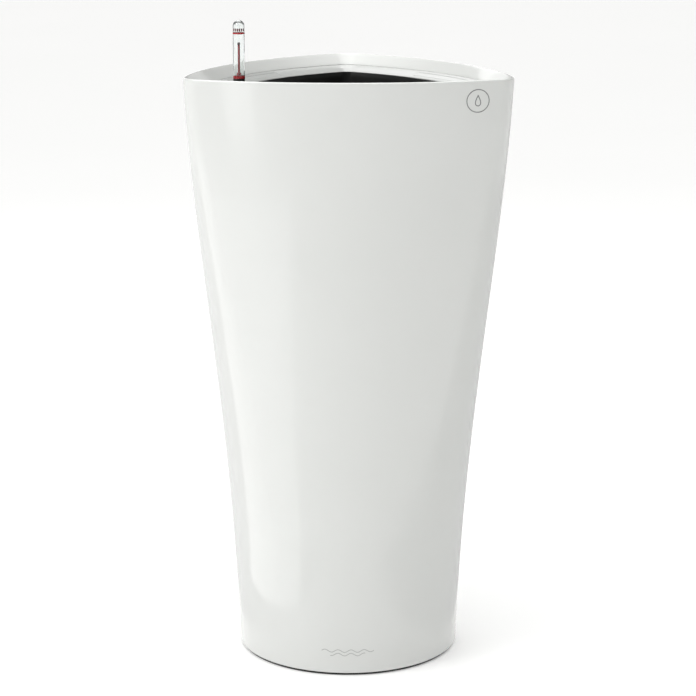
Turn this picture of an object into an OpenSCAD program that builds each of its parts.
// Tall self-watering planter: a three-sided column that turns into a round foot.
// A removable planting liner hangs in the gloss shell from its handle frame.
// Units are millimetres, +Z is up, the origin is the centre of the standing face.

/* [Outer shell] */
// Height of the rim above the floor
shell_h = 750; // [740:1:760]
// Width of the rim from corner to corner
top_w = 400; // [396:1:404]
// Radius of the round foot
base_r = 142.4; // [142:0.1:145]
// Radius of one bulging side at the rim
side_r = 429.3; // [420:0.1:440]
// Radius of the three corners at the rim
corner_r = 30; // [26:1:34]
// How fast the plan turns from three-sided to round on the way down
morph_power = 1.3; // [1.1:0.1:1.6]
// Wall thickness of the shell
shell_wall = 4; // [3.5:0.1:4.5]
// Thickness of the shell's floor
floor_t = 5; // [4:0.5:6]

/* [Foot ring] */
// Height of the dark ring that the planter stands on
foot_h = 3; // [2:0.1:3.5]
// How far the ring stands back from the shell
foot_inset = 4.2; // [3.8:0.1:4.6]
// Width of the ring
foot_w = 14; // [12:1:18]

/* [Planting liner] */
// Underside of the liner above the floor
liner_z = 400; // [395:1:410]
// Wall thickness of the liner
liner_wall = 3; // [2.5:0.1:3]
// Inset of the liner's outside at its foot
liner_foot_inset = 46; // [46:0.5:50]

/* [Handle frame] */
// Inset of the frame's outer edge
frame_out = 15.6; // [15.5:0.1:16]
// Inset of the frame's inner edge, where the black opening starts
frame_in = 36; // [36:0.1:37]
// Half angle that one lifting handle covers on its side
handle_half = 8; // [6:0.5:9]
// Travel of a lifting handle
handle_travel = 55; // [40:1:55]
// Gap round a handle in its pocket
handle_gap = 0.4; // [0.3:0.05:0.6]

/* [Separator] */
// Underside of the separator plate
separator_z = 478; // [470:1:480]
// Thickness of the separator plate
separator_t = 3; // [2.5:0.5:3]
// Radius of a wick cup's mouth
cup_r = 30; // [26:1:32]
// Distance of the wick cups from the centre
cup_pos = 70; // [68:1:76]

/* [Water level gauge] */
// Distance of the gauge from the centre, on the corner's bisector
gauge_pos = 153.6; // [153:0.1:154]
// Outside radius of the gauge tube
gauge_r = 7.2; // [7:0.1:7.4]
// Wall thickness of the clear tube above its spigot
tube_wall = 0.8; // [0.7:0.05:1.2]
// Top of the clear dome
gauge_top = 817; // [812:1:820]
// Radius of the red needle
needle_r = 1.4; // [1.2:0.1:1.6]
// Height of the needle's tip at rest
needle_tip_z = 790; // [785:1:792]

/* [Hidden] */

white = [0.95, 0.95, 0.94];
black = [0.07, 0.07, 0.07];
red = [0.72, 0.08, 0.10];

// plan curve -----------------------------------------------------------
nf = 16;                 // steps along one side
nc = 8;                  // steps round one corner
crisp_r = 14;            // smallest corner radius of an inset curve
corner_c = (top_w / 2 - corner_r) / sin(60);
side_c = sqrt(pow(side_r - corner_r, 2) - pow(corner_c * cos(30), 2)) - corner_c / 2;

function spin(a, pts) = [for (p = pts) [p[0] * cos(a) - p[1] * sin(a), p[0] * sin(a) + p[1] * cos(a)]];

// three-sided curve, moved inwards by w
function tri_q(w) = max(corner_r - w, crisp_r);
function tri_c(w) = (-side_c + sqrt(4 * pow(side_r - w - tri_q(w), 2) - 3 * side_c * side_c)) / 2;
function tri_ring(w) =
  let (R = side_r - w, q = tri_q(w), c = tri_c(w), h = atan2(c * cos(30), side_c + c / 2))
  [for (k = [0:2]) each spin(120 * k, concat(
    [for (i = [0:nf - 1]) let (t = -h + 2 * h * i / nf) [R * sin(t), side_c - R * cos(t)]],
    [for (i = [0:nc - 1]) let (a = h - 90 + (120 - 2 * h) * i / nc) [c * cos(30) + q * cos(a), q * sin(a) - c / 2]]))];

// circle with its points in step with the three-sided curve
function round_ring(r) =
  [for (k = [0:2]) each spin(120 * k, concat(
    [for (i = [0:nf - 1]) let (a = 60 * i / nf - 120) [r * cos(a), r * sin(a)]],
    [for (i = [0:nc - 1]) let (a = 60 * i / nc - 60) [r * cos(a), r * sin(a)]]))];

function flat_at(ring, z) = [for (p = ring) [p[0], p[1], z]];

// half width of the shell at height z: upright at the foot and at the rim, tapered between
function bulge(u) = 4 * 0.06 * u * pow(1 - u, 3) + 6 * 0.332 * pow(u * (1 - u), 2)
  + 4 * 0.863 * pow(u, 3) * (1 - u) + pow(u, 4);
function half_w(z) = base_r + (top_w / 2 - base_r) * bulge(min(z / shell_h, 1));
function morph(z) = pow(max(1 - z / shell_h, 0), morph_power);

function shell_ring(w, z) =
  let (h = half_w(z), s = 2 * h / top_w, m = morph(z))
  flat_at((1 - m) * s * tri_ring(w / s) + m * round_ring(h - w), z);
function liner_ring(w, z) = flat_at(tri_ring(w), z);

// solids from rings ----------------------------------------------------
function skin(n, rows, wrap) = [for (j = [0:rows - (wrap ? 1 : 2)]) for (i = [0:n - 1])
  let (a = j * n + i, b = j * n + (i + 1) % n, c = ((j + 1) % rows) * n + i, d = ((j + 1) % rows) * n + (i + 1) % n)
  each [[a, c, d], [a, d, b]]];

module vessel(rings) {
  n = len(rings[0]); rows = len(rings);
  polyhedron(points = [for (r = rings) each r], convexity = 8,
    faces = concat([[for (i = [0:n - 1]) i]], skin(n, rows, false),
      [[for (i = [n - 1:-1:0]) (rows - 1) * n + i]]));
}
module hoop(rings) {
  polyhedron(points = [for (r = rings) each r], convexity = 8,
    faces = skin(len(rings[0]), len(rings), true));
}
// part of a side's own arc, with its section given as [inset, height] pairs
module side_arc(side, section, half, at = 0) {
  rotate(120 * side) translate([0, side_c, 0]) rotate(270 + at - half)
    rotate_extrude(angle = 2 * half, $fn = 360) polygon([for (p = section) [side_r - p[0], p[1]]]);
}

// levels ---------------------------------------------------------------
foot_top = foot_h;
floor_z = foot_top + floor_t;
crease_z = shell_h - 13.6;      // where the inner slope of the rim ends
slope = 0.3317;                 // fall of the frame per millimetre of inset
frame_z = shell_h - 14.1;       // top of the frame's outer edge
function frame_top(w) = frame_z - slope * (w - frame_out);
liner_top = frame_top(frame_in) - 0.9;
skirt_out = frame_in - liner_wall - 2.3;
tray_z = shell_h - 29;          // underside of a handle's tray
leg_z = shell_h - 94;           // lower end of a handle's legs
sep_top = separator_z + separator_t;
liner_floor = liner_z + 3;
shaft_top = shell_h - 26;
band_z = shell_h - 3.5;         // joint between the black and the clear tube

module at_gauge() { rotate(210) translate([gauge_pos, 0, 0]) children(); }

// outer shell ----------------------------------------------------------
module outer_shell() color(white) {
  w = shell_wall;
  difference() {
    vessel(concat(
      [shell_ring(3, foot_top), shell_ring(1.5, foot_top + 0.6), shell_ring(0.5, foot_top + 2), shell_ring(0, foot_top + 5)],
      [for (z = [50:50:700]) shell_ring(0, z)],
      [shell_ring(0, shell_h - 15), shell_ring(0, shell_h - 2.2), shell_ring(0.55, shell_h - 0.6),
       shell_ring(2, shell_h), shell_ring(3.3, shell_h - 0.6),
       liner_ring(15, crease_z), liner_ring(15, crease_z - 3.6), liner_ring(19, crease_z - 5.05),
       liner_ring(19, crease_z - 8), liner_ring(12.2, crease_z - 5.6), liner_ring(10.2, crease_z + 0.8),
       shell_ring(w, crease_z + 7.4)],
      [for (z = [700:-50:50]) shell_ring(w, z)],
      [shell_ring(w, floor_z + 6), shell_ring(w + 1.2, floor_z + 1.8), shell_ring(w + 4, floor_z)]));
    // drain hole and the groove that takes the foot ring's tongue
    translate([0, 0, foot_top - 1]) cylinder(r = 10, h = floor_t + 2, $fn = 96);
    translate([0, 0, foot_top - 1]) rotate_extrude($fn = 180)
      translate([133.95, 0]) square([3.1, 3.1]);
  }
}

module foot_ring() color([0.16, 0.16, 0.16]) {
  r1 = base_r - foot_inset; r0 = r1 - foot_w;
  rotate_extrude($fn = 180) polygon([[r0 + 0.6, 0], [r1 - 0.5, 0], [r1, 0.5], [r1, foot_h],
    [137, foot_h], [137, foot_h + 2], [134, foot_h + 2], [134, foot_h], [r0, foot_h], [r0, 0.6]]);
}

module shell_drain_plug() color([0.2, 0.2, 0.2]) difference() {
  rotate_extrude($fn = 96) polygon([[0, foot_top + 0.4], [9.2, foot_top + 0.4], [9.95, foot_top + 1.2],
    [9.95, floor_z + 2.05], [15, floor_z + 2.05], [15, floor_z + 4.4], [14.4, floor_z + 5], [0, floor_z + 5]]);
  // finger grip: two pockets leave a bar across the head
  for (s = [-1, 1]) translate([-6, s * 5.6 - 3.6, floor_z + 1]) cube([12, 7.2, 6]);
  translate([0, 0, foot_top - 1]) cylinder(r = 7, h = 3.6, $fn = 64);
}

module shell_plug_seal() color([0.1, 0.1, 0.1])
  rotate_extrude($fn = 96) polygon([[10.4, floor_z + 0.05], [14.2, floor_z + 0.05], [14.5, floor_z + 0.4],
    [14.5, floor_z + 1.7], [14.2, floor_z + 2], [10.4, floor_z + 2], [10.1, floor_z + 1.7], [10.1, floor_z + 0.4]]);

// planting liner -------------------------------------------------------
module planting_liner() color(black) {
  w0 = liner_foot_inset; w1 = frame_in - liner_wall; t = liner_wall;
  difference() {
    vessel([liner_ring(w0 + 6, liner_z), liner_ring(w0 + 2, liner_z + 1.2), liner_ring(w0 + 0.2, liner_z + 5),
      liner_ring((w0 + w1) / 2, (liner_z + 5 + liner_top) / 2), liner_ring(w1, liner_top),
      liner_ring(w1 + t, liner_top), liner_ring((w0 + w1) / 2 + t, (liner_z + 5 + liner_top) / 2),
      liner_ring(w0 + t, liner_floor + 3), liner_ring(w0 + t + 0.3, liner_floor + 0.7), liner_ring(w0 + t + 0.8, liner_floor)]);
    translate([0, 0, liner_z - 1]) cylinder(r = 12, h = 6, $fn = 96);
  }
  // collar round the drain hole, and two ribs that keep the fill shaft in its corner
  difference() {
    translate([0, 0, liner_floor - 0.5]) cylinder(r = 17, h = 2.5, $fn = 96);
    translate([0, 0, liner_z - 1]) cylinder(r = 12, h = 8, $fn = 96);
  }
  at_gauge() for (s = [-1, 1]) translate([-24, s * 15.6 - 1, liner_floor - 0.5]) cube([22, 2, 10.5]);
}

// white sloping frame with three pockets, each with a tray that guides a handle
module handle_frame() color(white) {
  g = handle_gap; po = frame_in - 14.9; pi = frame_in - 5.4;
  da = g / (side_r - 26) * 57.3;
  difference() {
    hoop([liner_ring(frame_out, frame_z - 2.7), liner_ring(frame_out, frame_z - 0.3), liner_ring(frame_out + 0.3, frame_z),
      liner_ring(frame_in - 0.5, frame_top(frame_in) + 0.1), liner_ring(frame_in, frame_top(frame_in) - 0.4),
      liner_ring(frame_in, liner_top), liner_ring(frame_in - liner_wall, liner_top),
      liner_ring(frame_in - liner_wall, liner_top - 9.6), liner_ring(skirt_out, liner_top - 9.6),
      liner_ring(skirt_out, frame_top(skirt_out) - 3.1)]);
    for (k = [0:2]) side_arc(k, [[po, tray_z + 2], [pi, tray_z + 2], [pi, shell_h], [po, shell_h]], handle_half + da);
  }
  // trays under the pockets, with a slot for each leg
  for (k = [0:2]) difference() {
    side_arc(k, [[po - 1.5, tray_z], [skirt_out + 0.3, tray_z], [skirt_out + 0.3, frame_top(skirt_out) - 3],
      [po - 1.5, frame_top(po - 1.5) - 2]], handle_half + da + 0.3);
    side_arc(k, [[po, tray_z + 2], [pi, tray_z + 2], [pi, shell_h], [po, shell_h]], handle_half + da);
    for (a = [-1, 1]) side_arc(k, [[24.4, tray_z - 1], [28.2, tray_z - 1], [28.2, tray_z + 3], [24.4, tray_z + 3]], 0.97, a * (handle_half - 1.4));
  }
}

// one lifting handle: a hollow bar flush with the frame on two legs with barbs
module lift_handle(k) {
  g = handle_gap; po = frame_in - 14.9 + g; pi = frame_in - 5.4 - g;
  b = tray_z + 2.4;
  difference() {
    side_arc(k, [[po, b], [pi, b], [pi, frame_top(pi) - 0.3], [pi - 0.4, frame_top(pi - 0.4)],
      [po + 0.4, frame_top(po + 0.4)], [po, frame_top(po) - 0.3]], handle_half);
    side_arc(k, [[po + 2, b - 1], [pi - 2, b - 1], [pi - 2, frame_top(pi) - 2.6], [po + 2, frame_top(po) - 2.6]], handle_half - 3.1);
  }
  for (a = [-1, 1]) {
    side_arc(k, [[24.8, leg_z], [27.8, leg_z], [27.8, b + 1], [24.8, b + 1]], 0.9, a * (handle_half - 1.4));
    side_arc(k, [[23.4, leg_z + 6], [24.9, leg_z + 6], [24.9, leg_z]], 0.9, a * (handle_half - 1.4));
    side_arc(k, [[29.2, leg_z + 6], [27.7, leg_z], [27.7, leg_z + 6]], 0.9, a * (handle_half - 1.4));
  }
}
module lift_handle_front() color(white) lift_handle(0);
module lift_handle_right() color(white) lift_handle(1);
module lift_handle_left() color(white) lift_handle(2);

module liner_drain_plug() color([0.2, 0.2, 0.2]) difference() {
  rotate_extrude($fn = 96) polygon([[0, liner_z - 6.6], [17.4, liner_z - 6.6], [18, liner_z - 6], [18, liner_z - 2.1],
    [11.95, liner_z - 2.1], [11.95, liner_floor + 1.4], [11.2, liner_floor + 2.2], [0, liner_floor + 2.2]]);
  translate([-13, -1.2, liner_z - 8]) cube([26, 2.4, 3.4]);
  translate([0, 0, liner_z - 1]) cylinder(r = 9, h = 8, $fn = 64);
}

module liner_plug_seal() color([0.1, 0.1, 0.1])
  rotate_extrude($fn = 96) polygon([[12.4, liner_z - 2.05], [16.2, liner_z - 2.05], [16.5, liner_z - 1.7],
    [16.5, liner_z - 0.4], [16.2, liner_z - 0.05], [12.4, liner_z - 0.05], [12.1, liner_z - 0.4], [12.1, liner_z - 1.7]]);

// water reservoir ------------------------------------------------------
module capsule(r) {
  translate([gauge_pos, 0]) circle(r = r, $fn = 96);
  translate([gauge_pos - 20.6, 0]) circle(r = r, $fn = 96);
  translate([gauge_pos - 20.6, -r]) square([20.6, 2 * r]);
}

module separator_plate() color(black) {
  difference() {
    union() {
      translate([0, 0, separator_z]) linear_extrude(separator_t) polygon(tri_ring(liner_foot_inset + 2.5));
      // stiffening ring under the plate
      translate([0, 0, separator_z - 8]) difference() {
        cylinder(r = 112, h = 8.5, $fn = 180);
        translate([0, 0, -1]) cylinder(r = 109.5, h = 12, $fn = 180);
      }
    }
    translate([0, 0, separator_z - 10]) rotate(210) linear_extrude(20) {
      capsule(15.2);
      translate([gauge_pos, -15.2]) square([40, 30.4]);
    }
    for (k = [0:2]) rotate(120 * k - 90) translate([cup_pos, 0, separator_z - 1])
      cylinder(r = cup_r + 0.4, h = 6, $fn = 96);
    // slots that let air and roots through
    for (k = [0:2], r = [52, 70, 88], a = [-12, 12]) rotate(120 * k - 30 + a) translate([r - 6, -1.5, separator_z - 1]) cube([12, 3, 6]);
    for (k = [0:5]) rotate(60 * k) translate([16, -1.5, separator_z - 1]) cube([14, 3, 6]);
  }
}

module wick_cup() {
  c0 = liner_floor + 0.4;
  difference() {
    rotate_extrude($fn = 96) polygon([[0, c0], [cup_r - 10, c0], [cup_r - 8.5, c0 + 1.5], [cup_r, sep_top + 0.1],
      [cup_r + 4, sep_top + 0.1], [cup_r + 4, sep_top + 2.1], [cup_r - 2.2, sep_top + 2.1], [cup_r - 10.5, c0 + 2.2], [0, c0 + 2.2]]);
    for (a = [0:45:359]) rotate(a) translate([14, -1.5, c0 + 8]) cube([20, 3, 34]);
    for (a = [0:60:359]) rotate(a) translate([6, -1.5, c0 - 1]) cube([9, 3, 5]);
  }
}
module wick_cups() color(black)
  for (k = [0:2]) rotate(120 * k - 90) translate([cup_pos, 0, 0]) wick_cup();

module fill_shaft() color(black) difference() {
  translate([0, 0, liner_floor + 0.1]) rotate(210) linear_extrude(shaft_top - liner_floor - 0.1)
    difference() { capsule(14); capsule(12); }
  // notches that pass the water into the reservoir
  at_gauge() for (x = [-14, -6.6]) translate([x - 1.5, -16, liner_floor - 1]) cube([5, 32, 16]);
}

// water level gauge ----------------------------------------------------
module gauge_holder() color(black) at_gauge() difference() {
  union() {
    translate([0, 0, shaft_top + 0.1]) cylinder(r = 14, h = 2.6, $fn = 96);
    translate([0, 0, shaft_top - 8]) cylinder(r = 11.6, h = 9, $fn = 96);
  }
  translate([0, 0, shaft_top - 10]) cylinder(r = gauge_r + 0.05, h = 16, $fn = 96);
}

module gauge_housing() color(black) at_gauge() difference() {
  rotate_extrude($fn = 96) polygon([[9.8, liner_floor + 2.7], [11.3, liner_floor + 2.7], [11.3, separator_z + 1],
    [gauge_r, separator_z + 9], [gauge_r, band_z], [gauge_r - 1.2, band_z], [gauge_r - 1.2, separator_z + 8.6], [9.8, separator_z + 0.4]]);
  for (a = [0, 60, 120]) rotate(a) translate([-14, -1.5, liner_floor + 12]) cube([28, 3, 46]);
}

module gauge_foot() color(black) at_gauge() difference() {
  union() {
    translate([0, 0, liner_floor + 0.6]) cylinder(r = 11.3, h = 2, $fn = 96);
    translate([0, 0, liner_floor + 1]) cylinder(r = 9.75, h = 5, $fn = 96);
  }
  translate([0, 0, liner_floor + 2.4]) cylinder(r = 8, h = 5, $fn = 96);
  for (a = [0, 60, 120]) rotate(a) translate([-5.5, -1, liner_floor - 1]) cube([11, 2, 6]);
}

// red bush pressed into the spigot of the clear tube, with a collar on top
module needle_guide() color(red) at_gauge() rotate_extrude($fn = 64)
  polygon([[needle_r + 0.08, band_z - 4], [gauge_r - 2.45, band_z - 4], [gauge_r - 2.45, band_z + 2.4], [gauge_r - 3, band_z + 3],
    [2.8, band_z + 3.4], [2.6, band_z + 6.7], [2.3, band_z + 7], [needle_r + 0.08, band_z + 7]]);

module gauge_sight_tube() color([0.9, 0.95, 0.95, 0.35]) at_gauge() {
  d = gauge_top - gauge_r; q = gauge_r - 1.2; qt = gauge_r - tube_wall;
  difference() {
    union() {
      translate([0, 0, band_z + 0.05]) cylinder(r = gauge_r, h = d - band_z - 0.05, $fn = 96);
      translate([0, 0, d]) sphere(r = gauge_r, $fn = 96);
      translate([0, 0, band_z - 8.5]) cylinder(r = q - 0.05, h = 9, $fn = 96);
    }
    translate([0, 0, band_z - 10]) cylinder(r = q - 1.2, h = 14, $fn = 96);
    translate([0, 0, band_z + 1.5]) cylinder(r = qt, h = d - band_z - 1.5, $fn = 96);
    translate([0, 0, d]) sphere(r = qt, $fn = 96);
  }
}

module slip_ring(z, h) at_gauge() translate([0, 0, z]) difference() {
  cylinder(r = gauge_r + 0.16, h = h, $fn = 96);
  translate([0, 0, -1]) cylinder(r = gauge_r + 0.02, h = h + 2, $fn = 96);
}
module gauge_lower_band() color(red) slip_ring(band_z + 0.2, 3.1);
module gauge_max_ring() color(red) slip_ring(shell_h + 50.2, 1.9);

module gauge_needle() color(red) at_gauge()
  translate([0, 0, liner_floor + 43]) cylinder(r = needle_r, h = needle_tip_z - 1.6 - liner_floor - 43, $fn = 48);

module gauge_needle_tip() color([0.25, 0.03, 0.04]) at_gauge() difference() {
  rotate_extrude($fn = 48) polygon([[0, needle_tip_z - 2.6], [needle_r + 0.3, needle_tip_z - 2.6],
    [needle_r + 0.3, needle_tip_z - 0.8], [needle_r - 0.4, needle_tip_z], [0, needle_tip_z]]);
  translate([0, 0, needle_tip_z - 5]) cylinder(r = needle_r + 0.01, h = 3.42, $fn = 48);
}

module gauge_float() color([0.9, 0.88, 0.8]) at_gauge() difference() {
  rotate_extrude($fn = 96) polygon([[0, liner_floor + 41], [8, liner_floor + 41], [8.8, liner_floor + 42],
    [8.8, liner_floor + 63], [8, liner_floor + 64], [0, liner_floor + 64]]);
  translate([0, 0, liner_floor + 43]) cylinder(r = needle_r + 0.01, h = 30, $fn = 48);
}

outer_shell();
foot_ring();
shell_drain_plug();
shell_plug_seal();
planting_liner();
handle_frame();
lift_handle_front();
lift_handle_right();
lift_handle_left();
liner_drain_plug();
liner_plug_seal();
separator_plate();
wick_cups();
fill_shaft();
gauge_holder();
gauge_housing();
gauge_foot();
needle_guide();
gauge_sight_tube();
gauge_lower_band();
gauge_max_ring();
gauge_needle();
gauge_needle_tip();
gauge_float();
